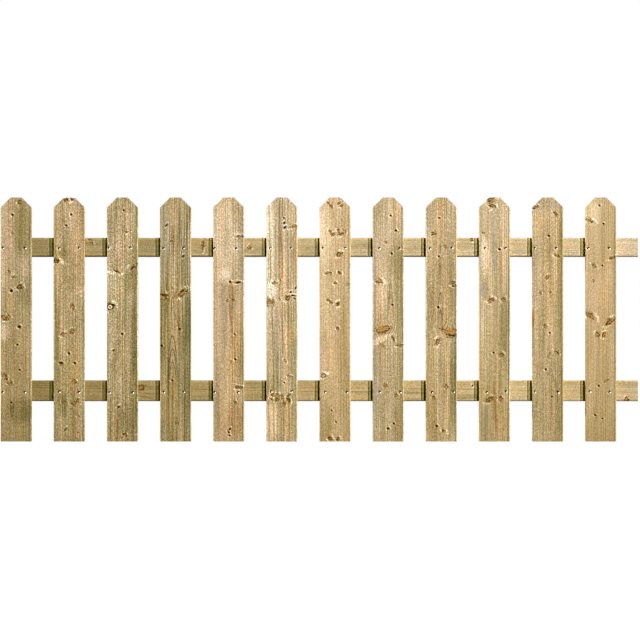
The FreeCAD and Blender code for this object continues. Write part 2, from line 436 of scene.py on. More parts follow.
            Tint(27, 210, 14, 200, "olive", 0.6), Tint(-8, 240, 8, 70, "honey", 0.4),
            Tint(-34, 235, 10, 50, "blush", 0.6), Tint(-21, 196, 10, 2.4, "cream", 1.0, 20),
            Tint(-28, 60, 18, 60, "olive", 0.5),
        ),
    ),
    Board(
        timber=(191, 167, 124), pith=(80, 50), rise=0.003, ring=4.6, contrast=0.92, green=0.35,
        fine=(1.3, 0.95), nails=((21, 79), (22, 81)),
        knots=(
            Knot(7, 648, 3.0, "pin"), Knot(22, 605, 3.4, "pin"), Knot(-7, 572, 3.7, "orange"),
            Knot(10, 539, 3.0, "pin"), Knot(-27, 459, 5.9, "live", 1.6, -15), Knot(12, 392, 3.0, "pin"),
            Knot(-16, 322, 8.0, "moon", 2.2, 192), Knot(13, 295, 3.5, "slash", 2, -55),
            Knot(-17, 276, 3.3, "faint", 2, -30), Knot(35, 276, 2.8, "slash", 3, 8),
            Knot(-7, 160, 5.3, "orange"), Knot(23, 132, 4.4, "live"), Knot(16, 52, 2.9, "pin"),
            Knot(0, 37, 3.7, "pin"),
        ),
        tints=(
            Tint(-8, 620, 24, 70, "pale", 0.35), Tint(-40, 360, 6, 320, "grey", 0.8),
            Tint(24, 520, 24, 50, "olive", 0.6), Tint(-14, 405, 14, 56, "pale", 0.4),
            Tint(7, 370, 6, 60, "honey", 0.5), Tint(34, 260, 11, 240, "olive", 0.7),
            Tint(-22, 292, 22, 9, "cream", 1.0, 30), Tint(-26, 130, 18, 120, "grey", 0.4),
            Tint(30, 50, 18, 50, "olive", 0.5),
        ),
        arches=(Arch(7, 452, 9, 90, 3, 0.9),),
        chips=(Chip(33, 681, 5),),
    ),
    Board(
        timber=(190, 165, 118), pith=(-80, 55), rise=0.003, ring=4.8, contrast=1.0, green=0.3,
        fine=(1.3, 0.92), nails=((14, 77), (20, 82)),
        knots=(
            Knot(-6, 641, 3.0, "pin"), Knot(-21, 597, 4.6, "eye", 1.3, 25), Knot(12, 560, 3.9, "orange"),
            Knot(-7, 531, 2.9, "pin"), Knot(32, 455, 3.6, "slash", 1.8, 40),
            Knot(38, 447, 3.6, "dead", 1.8, 5), Knot(-9, 385, 3.4, "pin"),
            Knot(26, 315, 10.0, "moon", 2.1, 168), Knot(-11, 286, 5.9, "live", 1.4, 60),
            Knot(14, 157, 4.9, "orange"), Knot(-23, 126, 4.0, "live"), Knot(-13, 44, 3.7, "pin"),
            Knot(7, 30, 3.9, "dead", 1.6, -40),
        ),
        tints=(
            Tint(-33, 640, 9, 40, "grey", 0.8), Tint(-4, 600, 20, 90, "blush", 0.4),
            Tint(31, 590, 14, 110, "grey", 0.7), Tint(36, 400, 8, 70, "grey", 0.7),
            Tint(18, 385, 6, 60, "honey", 0.5), Tint(35, 160, 11, 160, "green", 0.7),
            Tint(16, 140, 6, 140, "honey", 0.5), Tint(-28, 130, 16, 130, "olive", 0.6),
            Tint(-39, 400, 7, 120, "grey", 0.7), Tint(1, 352, 1.5, 34, "dark", 1.0, 6),
            Tint(27, 448, 6, 2, "cream", 0.9, -25),
        ),
        arches=(Arch(-3, 426, 9, 100, 2, 1.0), Arch(-4, 560, 5, 110, 2, 0.8)),
    ),
    Board(
        timber=(195, 171, 127), pith=(80, 50), rise=0.004, ring=5.4, contrast=0.78, green=0.2,
        nails=((19, 78), (24, 80)),
        knots=(
            Knot(-10, 693, 7.6, "live", 1.3, 10), Knot(-6, 676, 4.6, "slash", 1.7, -20),
            Knot(-32, 598, 2.8, "orange", 1.8, 0), Knot(14, 552, 3.4, "pin"),
            Knot(-10, 405, 6.6, "live", 1.2, 10), Knot(25, 408, 5.4, "live"), Knot(13, 278, 3.2, "faint"),
            Knot(-3, 255, 3.0, "pin"), Knot(20, 248, 5.8, "live"), Knot(-14, 120, 5.6, "slash", 1.7, 30),
            Knot(17, 122, 5.4, "live"),
        ),
        tints=(
            Tint(-28, 533, 12, 56, "cream", 0.8), Tint(0, 190, 48, 200, "olive", 0.4),
            Tint(-2, 590, 10, 100, "grey", 0.5), Tint(34, 560, 12, 80, "pale", 0.5),
            Tint(-30, 432, 16, 22, "grey", 0.8), Tint(-26, 290, 16, 100, "pale", 0.6),
            Tint(28, 340, 12, 90, "green", 0.8), Tint(18, 520, 2.4, 110, "brown", 0.9),
            Tint(3, 85, 5, 84, "brown", 1.0, 4), Tint(-16, 150, 4, 30, "brown", 0.8),
            Tint(-26, 50, 16, 50, "grey", 0.6), Tint(26, 60, 16, 60, "honey", 0.5),
            Tint(-10, 664, 6, 2.6, "cream", 1.0, 30),
        ),
    ),
    Board(
        timber=(186, 161, 115), pith=(85, 50), rise=0.003, ring=4.8, contrast=0.92, green=0.5,
        nails=((9, 71), (10, 76)),
        knots=(
            Knot(-35, 672, 3.6, "slash", 2.0, 20), Knot(23, 653, 3.2, "slash", 2.0, -40),
            Knot(3, 590, 3.4, "pin"), Knot(27, 533, 3.2, "slash", 2.6, -20),
            Knot(-1, 471, 4.2, "live", 1.4, 60), Knot(-21, 426, 2.4, "slash", 1.8, -50),
            Knot(7, 429, 3.1, "live"), Knot(-7, 331, 4.4, "live"), Knot(6, 312, 2.9, "pin"),
            Knot(25, 256, 3.6, "slash", 1.8, -40), Knot(-6, 207, 3.0, "pin"), Knot(12, 129, 2.9, "pin"),
        ),
        tints=(
            Tint(0, 682, 44, 20, "grey", 0.6), Tint(8, 290, 2, 50, "pale", 0.9, 4),
            Tint(-24, 625, 14, 40, "honey", 0.6), Tint(36, 450, 10, 230, "olive", 1.0),
            Tint(-37, 470, 9, 90, "grey", 0.5), Tint(7, 395, 8, 70, "honey", 0.5),
            Tint(-41.5, 352, 3, 28, "resin", 1.0), Tint(-43, 352, 1.8, 24, "brown", 1.0),
            Tint(-42.5, 295, 1.6, 64, "dark", 1.0), Tint(-10, 520, 14, 50, "pale", 0.4),
            Tint(34, 120, 12, 120, "olive", 0.6),
        ),
        arches=(Arch(6, 305, 9, 120, 2.5, 0.55), Arch(8, 258, 25, 200, 4, 0.45)),
    ),
    Board(
        timber=(194, 167, 119), pith=(-90, 70), rise=0.003, ring=5.0, contrast=0.57, green=0.15,
        nails=((11, 71), (15, 72)),
        knots=(
            Knot(-4, 677, 3.0, "pin"), Knot(-33, 634, 4.5, "slash", 2.5, -20), Knot(7, 625, 2.9, "pin"),
            Knot(32, 527, 3.1, "slash", 2.6, 25), Knot(-19, 504, 3.5, "slash", 2, -40),
            Knot(4, 505, 2.6, "pin"), Knot(-21, 461, 3.3, "orange", 1.4, 80),
            Knot(-30, 361, 6.6, "slash", 2, -35), Knot(27, 345, 6.1, "slash", 2, 38),
            Knot(-10, 306, 5.4, "live", 1.2, -60), Knot(10, 306, 5.4, "live", 1.2, 60),
            Knot(-6, 160, 3.0, "pin"), Knot(16, 175, 2.6, "faint", 2.6, 40), Knot(-16, 76, 3.0, "pin"),
            Knot(4, 66, 2.6, "pin"),
        ),
        tints=(
            Tint(-24, 655, 24, 34, "cream", 0.5), Tint(22, 590, 26, 80, "olive", 0.3),
            Tint(-12, 430, 28, 60, "blush", 0.35), Tint(41, 360, 5, 330, "grey", 0.8),
            Tint(0, 40, 44, 60, "olive", 0.3),
        ),
    ),
)

# The rails lie on their sides: across is downwards from the middle, and up is along from the flush end
RAILS = {
    "top_rail": Board(
        timber=(201, 180, 141), pith=(60, 45), rise=0.002, ring=4.4, contrast=0.6, green=0.4,
        fade=(-1.06, 0.23),
        knots=(
            Knot(-17, 258, 4.0, "slash", 2, 40), Knot(-4, 579, 4.0, "live", 2.6, 0),
            Knot(0, 714, 5.0, "live"), Knot(-22, 1352, 4.2, "live"),
        ),
        # Along the lower edge: painted shade, with a painted bright line just above it.
        tints=(Tint(26, 500, 4, 1200, "olive", 1.0), Tint(20, 500, 1.6, 1200, "pale", 0.7)),
    ),
    "bottom_rail": Board(
        timber=(191, 168, 123), pith=(16, 34), rise=0.006, ring=3.6, contrast=0.6, green=0.4,
        fade=(-1.0, 0.12),
        knots=(Knot(-10, 404, 7.2, "eye"), Knot(-15, 1354, 2.6, "pin"), Knot(24, 1797, 5.9, "live")),
        tints=(
            Tint(7.3, 420, 1.3, 30, "dark", 1.0, -7.6), Tint(18.5, 417, 1.3, 27, "dark", 1.0, -11.5),
            Tint(0, 1230, 80, 330, "pale", 0.45),
        ),
    ),
}


def length_setting(name, description, default):
    """A length in metres."""
    return FloatProperty(name=name, description=description, default=default, unit="LENGTH")


def colour_setting(name, description, red, green, blue):
    """A colour as a picture shows it, from 0 to 255."""
    shown = linear(red, green, blue)
    return FloatVectorProperty(name=name, description=description, default=shown, size=3, subtype="COLOR")


def tone_setting(name, description, red, green, blue):
    """What the wood's red, green and blue are multiplied by."""
    tone = (red, green, blue)
    return FloatVectorProperty(name=name, description=description, default=tone, size=3, subtype="COLOR")


class PicketSettings(bpy.types.PropertyGroup):
    """Sizes of the dressed boards."""

    arris: length_setting("Picket Arris", "Radius of a picket's eased long edges", 2.5 * MM)
    rail_arris: length_setting("Rail Arris", "Radius of a rail's eased long edges", 4 * MM)
    cell: length_setting("Cell", "Spacing of the mesh that the wear is worked into", 3 * MM)
    crook: length_setting("Crook", "Most that a board bends sideways between its ends", 0.8 * MM)
    wear: length_setting("Wear", "Depth of the dents along the edges", 0.9 * MM)


class TimberSettings(bpy.types.PropertyGroup):
    """Colours and surface of the softwood."""

    live_knot: colour_setting("Live Knot", "Wood of a sound knot", 202, 147, 70)
    knot_bark: colour_setting("Knot Bark", "Bark in a knot", 124, 86, 22)
    dead_knot: colour_setting("Dead Knot", "Wood of a loose, black knot", 42, 33, 5)
    knot_hole: colour_setting("Knot Hole", "Inside of a small, open knot", 36, 13, 0)
    knot_halo: colour_setting("Knot Halo", "Clear wood inside a ringed knot", 255, 249, 230)
    clear_wood_and_highlight: tone_setting("Clear Wood", "Tone of the flecks of clear wood beside a knot", 2.15, 2.4, 3.1)
    knot_stain: tone_setting("Knot Stain", "Tone of the resin round a knot", 0.88, 0.80, 0.58)
    knot_fringe: tone_setting("Knot Fringe", "Tone of the wood that a knot runs into", 0.58, 0.46, 0.26)
    treatment: tone_setting("Treatment", "Tone of the green preservative", 0.80, 0.92, 0.78)
    sapwood: tone_setting("Sapwood", "Tone of the warm streaks", 1.07, 0.98, 0.80)
    end_grain: tone_setting("End Grain", "Tone of the sawn ends", 0.80, 0.75, 0.66)
    latewood: tone_setting("Latewood", "Tone of the grain's dark arches", 0.36, 0.31, 0.20)
    # The next three tones are partly painted light: the pickets' right edges are paler from wear and painted
    # highlight, and this tone is also the painted bright line on the rails beside their painted shadows; the
    # left edges are paler still, as painted highlight where they turn from the light; and the line beside the
    # right edges is painted shade.
    wear_and_highlight: tone_setting("Worn", "Tone of the pickets' right edges and of dry wood", 1.5, 1.6, 1.9)
    left_wear_and_highlight: tone_setting("Rubbed", "Tone of the pickets' left edges", 2.0, 2.1, 2.3)
    edge_shade: tone_setting("Dull", "Tone of the line beside the right edges", 0.60, 0.64, 0.47)
    # The next three tones paint shade on the rails beside each picket: a deep painted shadow, a painted tint
    # of the half shadow, and a painted dark line at the shadow's edge.
    corner_shadow: tone_setting("Grime", "Tone of the dirt in the corners between boards", 0.02, 0.02, 0.015)
    half_shadow_tint: tone_setting("Algae", "Tone of the damp strip beside the pickets", 1.28, 1.42, 0.76)
    shadow_line: tone_setting("Tide", "Tone of the line where the damp strip ends", 0.38, 0.42, 0.28)
    stain: FloatVectorProperty(
        name="Stain", description="How fast red, green and blue fade as the wood darkens",
        default=(0.90, 0.96, 1.44), size=3,
    )
    relief: length_setting("Relief", "Height of the raised grain", 0.5 * MM)


class NailSettings(bpy.types.PropertyGroup):
    """The nails that hold the pickets to the rails."""

    head: length_setting("Head", "Radius of a nail's head", 2.5 * MM)
    drop: length_setting("Drop", "How far below a rail's middle the nails are", 5 * MM)
    length: length_setting("Length", "Length of a nail", 45 * MM)
    sink: length_setting("Sink", "How far the heads are driven in", 1.1 * MM)
    steel: colour_setting("Steel", "Colour of the zinc coating", 248, 243, 230)


class StageSettings(bpy.types.PropertyGroup):
    """Floor, light and camera."""

    key: FloatProperty(name="Key", description="Strength of the light from the far right", default=2.74)
    fill: FloatProperty(name="Fill", description="Strength of the light from the near right", default=1.5)
    back: FloatProperty(name="Back", description="Strength of the light from behind", default=4.2)
    ambient: FloatProperty(name="Ambient", description="Light from all round", default=0.012)
    distance: length_setting("Camera Distance", "From the camera to the pickets' faces", 10.0)
    view_width: length_setting("View Width", "What the picture spans at the pickets' faces", 1.8355)


class Wiring:
    """Adds nodes to one tree and joins them, one call for each step of an effect."""

    def __init__(self, tree):
        self.tree = tree

    def node(self, kind, values, **settings):
        """A node whose inputs are set to numbers or joined to other nodes' sockets."""
        made = self.tree.nodes.new(kind)
        for name, setting in settings.items():
            setattr(made, name, setting)
        for key, value in values.items():
            self.feed(made.inputs[key], value)
        return made

    def feed(self, socket, value):
        """Sets or joins one input."""
        if isinstance(value, bpy.types.NodeSocket):
            self.tree.links.new(value, socket)
        else:
            socket.default_value = value

    def math(self, operation, *values):
        """One step of arithmetic on numbers."""
        return self.node("ShaderNodeMath", dict(enumerate(values)), operation=operation).outputs[0]

    def times(self, first, *others):
        """The product of numbers."""
        for other in others:
            first = self.math("MULTIPLY", first, other)
        return first

    def plus(self, first, *others):
        """The sum of numbers."""
        for other in others:
            first = self.math("ADD", first, other)
        return first

    def vector(self, operation, *values):
        """One step of arithmetic on vectors."""
        made = self.node("ShaderNodeVectorMath", dict(enumerate(values)), operation=operation)
        return made.outputs["Value" if operation in ("LENGTH", "DOT_PRODUCT") else "Vector"]

    def parts(self, vector):
        """The X, Y and Z of a vector."""
        return self.node("ShaderNodeSeparateXYZ", {"Vector": vector}).outputs

    def join(self, x, y, z):
        """Three numbers as a vector."""
        return self.node("ShaderNodeCombineXYZ", {"X": x, "Y": y, "Z": z}).outputs["Vector"]

    def noise(self, vector, across, along, detail=1.0, warp=0.0):
        """Cloudy noise from 0 to 1, in grains of one size across the board and another along it."""
        scaled = self.vector("MULTIPLY", vector, (1 / across, 1 / across, 1 / along))
        given = {"Vector": scaled, "Scale": 1.0, "Detail": detail, "Distortion": warp}
        return self.node("ShaderNodeTexNoise", given).outputs["Fac"]

    def span(self, value, low, high, start=0.0, end=1.0):
        """Eases a value from start to end as it passes from low to high."""
        given = {"Value": value, "From Min": low, "From Max": high, "To Min": start, "To Max": end}
        made = self.node("ShaderNodeMapRange", given, interpolation_type="SMOOTHSTEP")
        return made.outputs["Result"]

    def band(self, value, low, full, ebb, high):
        """One where a value is between full and ebb, easing to none at low and at high."""
        return self.times(self.span(value, low, full), self.span(value, ebb, high, 1.0, 0.0))

    def swing(self, value, amount):
        """A noise about zero, times an amount."""
        return self.times(self.math("SUBTRACT", value, 0.5), amount)

    def pick(self, share, first, second):
        """A number between two."""
        return self.node("ShaderNodeMix", {0: share, 2: first, 3: second}, data_type="FLOAT").outputs[0]

    def choose(self, share, first, second):
        """A vector between two."""
        return self.node("ShaderNodeMix", {0: share, 4: first, 5: second}, data_type="VECTOR").outputs[1]

    def mix(self, share, first, second, blend="MIX"):
        """A colour between two."""
        given = {0: share, 6: as_colour(first), 7: as_colour(second)}
        return self.node("ShaderNodeMix", given, data_type="RGBA", blend_type=blend).outputs[2]

    def tone(self, share, colour, factors):
        """A colour multiplied by a tone, as far as the share goes."""
        return self.mix(share, colour, factors, "MULTIPLY")

    def from_mark(self, given):
        """A point of the board as seen from a mark: from its middle, along its slope, in its own size."""
        placed = {
            "Vector": given["Board"],
            "Location": given["Place"],
            "Rotation": given["Turn"],
            "Scale": given["Size"],
        }
        return self.node("ShaderNodeMapping", placed, vector_type="TEXTURE").outputs["Vector"]


def as_colour(value):
    """Three numbers as the four that a colour socket takes; a socket stays as it is."""
    return value if isinstance(value, bpy.types.NodeSocket) else (*value, 1.0)


def start_group(name, inputs, outputs):
    """An empty node group with its sockets, and its two ends."""
    tree = bpy.data.node_groups.new(name, "ShaderNodeTree")
    for way, sockets in (("INPUT", inputs), ("OUTPUT", outputs)):
        for label, kind in sockets.items():
            tree.interface.new_socket(name=label, in_out=way, socket_type=f"NodeSocket{kind}")
    given = tree.nodes.new("NodeGroupInput").outputs
    result = tree.nodes.new("NodeGroupOutput").inputs
    return tree, Wiring(tree), given, result


# The sockets of a group that draws one mark on a board, and of a group that colours it as well
MARK = {"Board": "Vector", "Place": "Vector", "Turn": "Vector", "Size": "Vector"}
COLOURED_MARK = {"Color": "Color", **MARK, "Share": "Float", "Fray": "Float"}


def knot_group():
    """One knot: how far away it is, in its own radii, and the board with its grain pushed aside.

    Knots are chained, and each hands on what the nearest one so far has left: how far it is, how far up it
    is, towards the side where the finish paints shade, how far along its slope, and its kind. A knot is
    flatter on its lower side.
    """
    state = {"Board": "Vector", "Nearest": "Vector", "Kind": "Vector"}
    tree, wire, given, result = start_group("Knot", {**state, **MARK, "Own Kind": "Vector"}, state)
    local = wire.parts(wire.from_mark(given))
    over = wire.math("MAXIMUM", local["Z"], wire.times(local["Z"], -1.15))
    away = wire.vector("LENGTH", wire.join(local["X"], local["Y"], over))
    closer = wire.math("LESS_THAN", away, wire.parts(given["Nearest"])["X"])
    gap = wire.vector("SUBTRACT", given["Board"], given["Place"])
    push = wire.vector("MULTIPLY", gap, wire.join(wire.span(away, 0.5, 3.4, -0.6, 0.0), 0.0, 0.0))
    wire.feed(result["Board"], wire.vector("ADD", given["Board"], push))
    own = wire.join(away, local["Z"], local["X"])
    wire.feed(result["Nearest"], wire.choose(closer, given["Nearest"], own))
    wire.feed(result["Kind"], wire.choose(closer, given["Kind"], given["Own Kind"]))
    return tree


def softwood_group(timber):
    """The growth rings of a log cut by the board's faces, with streaks of treatment and sapwood."""
    tree, wire, given, result = start_group(
        "Softwood",
        {
            "Board": "Vector", "Seed": "Float", "Pith Across": "Float", "Pith Depth": "Float",
            "Rise": "Float", "Ring": "Float", "Contrast": "Float", "Fine": "Vector", "Green": "Float",
            "Timber": "Color",
            "Length": "Float", "Foot Shade": "Float", "Head Shade": "Float", "End Grain": "Float",
        },
        {"Color": "Color", "Height": "Float", "Fray": "Float", "Speck": "Float"},
    )
    seeded = wire.vector("ADD", given["Board"], wire.join(given["Seed"], 0.0, given["Seed"]))
    x, y, z = wire.parts(given["Board"])

    # Distance from the pith, which wanders a little along the log
    wander = wire.swing(wire.noise(seeded, 60 * MM, 400 * MM), 10 * MM)
    ripple = wire.swing(wire.noise(seeded, 12 * MM, 60 * MM), 1 * MM)
    offset = wire.math("SUBTRACT", x, given["Pith Across"])
    ring_x = wire.plus(offset, wander, ripple)
    depth = wire.math("MULTIPLY_ADD", z, given["Rise"], given["Pith Depth"])
    radius = wire.vector("LENGTH", wire.join(ring_x, wire.math("SUBTRACT", y, depth), 0.0))

    # Each year's ring darkens towards its latewood, and some years more than others
    uneven = wire.swing(wire.noise(wire.join(radius, given["Seed"], 0.0), 9 * MM, 1.0), 1.6)
    rings = wire.plus(wire.math("DIVIDE", radius, given["Ring"]), uneven)
    phase = wire.math("FRACT", rings)
    year = wire.plus(wire.math("FLOOR", rings), given["Seed"])
    mood = wire.node("ShaderNodeTexWhiteNoise", {"W": year}, noise_dimensions="1D").outputs["Value"]
    late = wire.band(phase, 0.60, 0.86, 0.90, 0.98)
    line = wire.times(late, wire.math("MULTIPLY_ADD", mood, 0.8, 0.2))

    grains = {
        name: wire.noise(seeded, grain.width * MM, grain.length * MM, grain.detail, grain.warp)
        for name, grain in GRAINS.items()
    }

    def swing(name):
        """What one noise adds to the darkness."""
        return wire.swing(grains[name], GRAINS[name].swing)

    # How dark the wood is, as the power of a number, added up from the widest cause to the finest
    fine = wire.parts(given["Fine"])
    shade = wire.plus(swing("blotch"), swing("broad"), swing("middle"))
    shade = wire.math("MULTIPLY_ADD", swing("narrow"), fine["X"], shade)
    shade = wire.math("MULTIPLY_ADD", swing("speck"), fine["Y"], shade)
    shade = wire.plus(shade, swing("fibre"))
    shade = wire.math("MULTIPLY_ADD", line, -0.8, wire.plus(shade, 0.10))
    shade = wire.math("MINIMUM", shade, wire.times(shade, 0.7))
    share = wire.math("SQRT", wire.math("DIVIDE", z, given["Length"]))
    fade = wire.pick(share, given["Foot Shade"], given["Head Shade"])
    shade = wire.math("MULTIPLY_ADD", shade, given["Contrast"], fade)
    powers = (wire.times(shade, rate) for rate in timber.stain)
    stained = wire.join(*(wire.math("EXPONENT", power) for power in powers))
    colour = wire.tone(1.0, given["Timber"], stained)
    hue = wire.noise(seeded, 10 * MM, 450 * MM, 2.0)
    treated = wire.times(wire.span(hue, 0.48, 0.66), given["Green"])
    warm = wire.times(wire.span(hue, 0.52, 0.36), 0.9)
    colour = wire.tone(treated, colour, timber.treatment)
    colour = wire.tone(warm, colour, timber.sapwood)
    colour = wire.tone(given["End Grain"], colour, timber.end_grain)

    rough = wire.math("MULTIPLY_ADD", grains["fibre"], 0.6, grains["speck"])
    height = wire.math("MULTIPLY_ADD", line, -0.5, rough)
    wire.feed(result["Color"], colour)
    wire.feed(result["Height"], height)
    wire.feed(result["Fray"], grains["middle"])
    wire.feed(result["Speck"], grains["speck"])
    return tree


def tint_group():
    """A patch of another tone, frayed along the grain."""
    tree, wire, given, result = start_group("Tint", {**COLOURED_MARK, "Tone": "Color"}, {"Color": "Color"})
    away = wire.plus(wire.vector("LENGTH", wire.from_mark(given)), wire.swing(given["Fray"], 1.2))
    share = wire.times(wire.span(away, 0.6, 1.35, 1.0, 0.0), given["Share"])
    wire.feed(result["Color"], wire.tone(share, given["Color"], given["Tone"]))
    return tree


def arch_group(timber):
    """Nested arches of dark grain, thin all the way round and fading downwards."""
    tree, wire, given, result = start_group("Arch", {**COLOURED_MARK, "Lines": "Float"}, {"Color": "Color"})
    local = wire.parts(wire.from_mark(given))
    size = wire.parts(given["Size"])
    x = wire.plus(local["X"], wire.swing(given["Fray"], 0.5))
    inward = wire.times(wire.math("MULTIPLY_ADD", x, x, local["Z"]), -1.0)
    sideways = wire.math("DIVIDE", wire.times(x, 2.0), size["X"])
    steep = wire.vector("LENGTH", wire.join(sideways, 0.0, wire.math("DIVIDE", 1.0, size["Z"])))
    turns = wire.times(inward, given["Lines"])
    phase = wire.math("FRACT", wire.plus(turns, 0.5))
    off = wire.math("ABSOLUTE", wire.math("SUBTRACT", phase, 0.5))
    off = wire.math("DIVIDE", off, wire.times(steep, given["Lines"]))
    thin = wire.span(off, 0.7 * MM, 1.7 * MM, 1.0, 0.0)
    nested = wire.band(turns, -0.4, -0.2, 2.3, 2.6)
    shown = wire.times(thin, nested, wire.span(local["Z"], -1.2, -0.3), given["Share"])
    wire.feed(result["Color"], wire.tone(shown, given["Color"], timber.latewood))
    return tree


def knot_finish_group(timber):
    """Colours the nearest knot: gritty wood from black to cream in it, with painted shade towards its top,
    and beside it resin and pale flecks of clear wood with painted highlight.
    """
    tree, wire, given, result = start_group(
        "Knot Finish",
        {"Color": "Color", "Board": "Vector", "Nearest": "Vector", "Kind": "Vector"},
        {"Color": "Color", "Height": "Float"},
    )
    nearest = wire.parts(given["Nearest"])
    dark, strength, cream = wire.parts(given["Kind"])
    grit = wire.noise(given["Board"], 3.2 * MM, 3.2 * MM, 0.0)
    up = wire.times(wire.parts(given["Board"])["Z"], 25.0)
    over = wire.times(nearest["Y"], 3.0)
    streak = wire.noise(wire.join(nearest["Z"], over, up), 1.2, 1.0, 0.0)
    ragged = wire.plus(wire.swing(grit, 2.6), wire.swing(streak, 2.0))
    rings = wire.math("GREATER_THAN", cream, RINGED)
    unruly = wire.math("MULTIPLY_ADD", rings, -0.6, 1.0)
    ragged = wire.times(ragged, wire.span(dark, 0.3, 1.6, 1.0, 0.2))
    away = wire.math("MULTIPLY_ADD", ragged, unruly, nearest["X"])

    # How pale the grit in the knot is: darkest in its middle, at its rim and towards its top, where shade is
    # painted in
    years = wire.times(wire.math("COSINE", wire.times(nearest["X"], 7.0)), rings)
    broken = wire.plus(wire.swing(grit, 3.2), wire.swing(streak, 2.8))
    pale = wire.math("MULTIPLY_ADD", dark, -0.75, wire.math("MULTIPLY_ADD", broken, unruly, 1.05))
    pale = wire.math("MULTIPLY_ADD", years, -0.65, pale)
    pale = wire.math("MULTIPLY_ADD", wire.span(away, 0.50, 0.90), -0.50, pale)
    pale = wire.math("MULTIPLY_ADD", nearest["Y"], -0.2, pale)
    heart = wire.mix(wire.span(pale, -0.35, -0.05), timber.knot_hole, timber.dead_knot)
    heart = wire.mix(wire.span(pale, 0.05, 0.35), heart, timber.knot_bark)
    heart = wire.mix(wire.span(pale, 0.40, 0.70), heart, timber.live_knot)
    heart = wire.mix(wire.times(wire.span(pale, 0.92, 1.2), rings), heart, timber.knot_halo)
    inside = wire.times(wire.span(away, 1.0, 1.15, 1.0, 0.0), strength)

    # Pale flecks beside the knot, at its ends and on the diagonal that rises to the right: clear wood with
    # painted highlight where the rim would catch the light
    beside = wire.band(nearest["X"], 1.2, 1.4, 2.0, 2.6)
    lean = wire.math("MULTIPLY_ADD", nearest["Z"], 0.35, nearest["Y"])
    ends = wire.span(wire.times(lean, nearest["Z"]), 0.35, 1.0)
    fleck = wire.span(wire.math("MULTIPLY_ADD", dark, -0.09, grit), 0.48, 0.43)
    clear = wire.times(beside, ends, fleck, strength, cream)
    stain = wire.times(wire.span(nearest["X"], 1.0, 3.4, 0.3, 0.0), strength)
    colour = wire.tone(stain, given["Color"], timber.knot_stain)
    colour = wire.tone(clear, colour, timber.clear_wood_and_highlight)
    fringe = wire.times(wire.span(away, 1.05, 1.35, 0.5, 0.0), strength)
    colour = wire.tone(fringe, colour, timber.knot_fringe)
    wire.feed(result["Color"], wire.mix(inside, colour, heart))
    wire.feed(result["Height"], wire.times(inside, pale))
    return tree


def timber_groups(timber):
    """The softwood's node groups by name, made for the first board and shared by all."""
    groups = bpy.data.node_groups
    if "Softwood" not in groups:
        knot_group()
        softwood_group(timber)
        tint_group()
        arch_group(timber)
        knot_finish_group(timber)
    return groups


class Lie(NamedTuple):
    """How a board lies in the panel: the middle of its foot at the front face, its width and its length.

    turn takes the panel's directions to the board's own: across, into the depth and up along it.
    """

    foot: Vector
    turn: Matrix
    width: float
    length: float

    def to_board(self, point):
        """A point of the panel as the board has it."""
        return self.turn @ (point - self.foot)

    def to_panel(self, point):
        """A point of the board as the panel has it."""
        return self.foot + self.turn.transposed() @ point


def picket_lie(low, high):
    """The lie of an upright board that fills a box."""
    foot = Vector(((low.x + high.x) / 2, low.y, low.z))
    return Lie(foot, Matrix.Identity(3), high.x - low.x, high.z - low.z)


def rail_lie(low, high):
    """The lie of a board on its side that fills a box, with its foot at the flush end."""
    foot = Vector((low.x, low.y, (low.z + high.z) / 2))
    return Lie(foot, Euler((0, -pi / 2, 0)).to_matrix(), high.z - low.z, high.x - low.x)


def mark_on_board(mark, half_width, half_height, slant=0.0):
    """Place, turn and size of a mark, as its node group takes them."""
    return {
        "Place": (mark.across * MM, 0.0, mark.up * MM),
        "Turn": (0.0, -radians(mark.slope), slant),
        "Size": (half_width * MM, 1.0, half_height * MM),
    }


def knot_slant(knot, board):
    """How a knot slants through the board: a quarter of the angle to the pith that it grew from."""
    return 0.25 * atan((knot.across - board.pith[0]) / board.pith[1])


class Crossings(NamedTuple):
    """Where the pickets cross a rail: the first and last one's near edges along it, and their spacing."""

    first: float
    last: float
    pitch: float


def paint_shadows_by_pickets(wire, colour, timber, on_board, crossings):
    """Painted shade on a rail's front, in the corners by the pickets: a deep painted shadow right by each
    picket, a painted tint of the half shadow past it, a painted dark line at the shadow's edge and a painted
    bright line beyond.
    """
    place = wire.parts(on_board)
    along = wire.math("SUBTRACT", place["Z"], crossings.first)
    short = wire.math("SUBTRACT", crossings.pitch, wire.math("FLOORED_MODULO", along, crossings.pitch))
    in_front = wire.math("LESS_THAN", place["Y"], MM)
    there = wire.times(in_front, wire.math("LESS_THAN", place["Z"], crossings.last))

    def strip(low, high):
        """What lies from one distance short of a picket to another, with soft edges."""
        limits = (low - STRIP_SOFT, low + STRIP_SOFT, high - STRIP_SOFT, high + STRIP_SOFT)
        return wire.times(wire.band(short, *limits), there)

    colour = wire.tone(wire.times(strip(SHADOW_LINE_END, BRIGHT_LINE_END), BRIGHT_LINE_SHARE), colour, timber.wear_and_highlight)
    colour = wire.tone(strip(HALF_SHADOW_END, SHADOW_LINE_END), colour, timber.shadow_line)
    colour = wire.tone(strip(CORNER_SHADOW_END, HALF_SHADOW_END), colour, timber.half_shadow_tint)
    return wire.tone(strip(-MM, CORNER_SHADOW_END), colour, timber.corner_shadow)


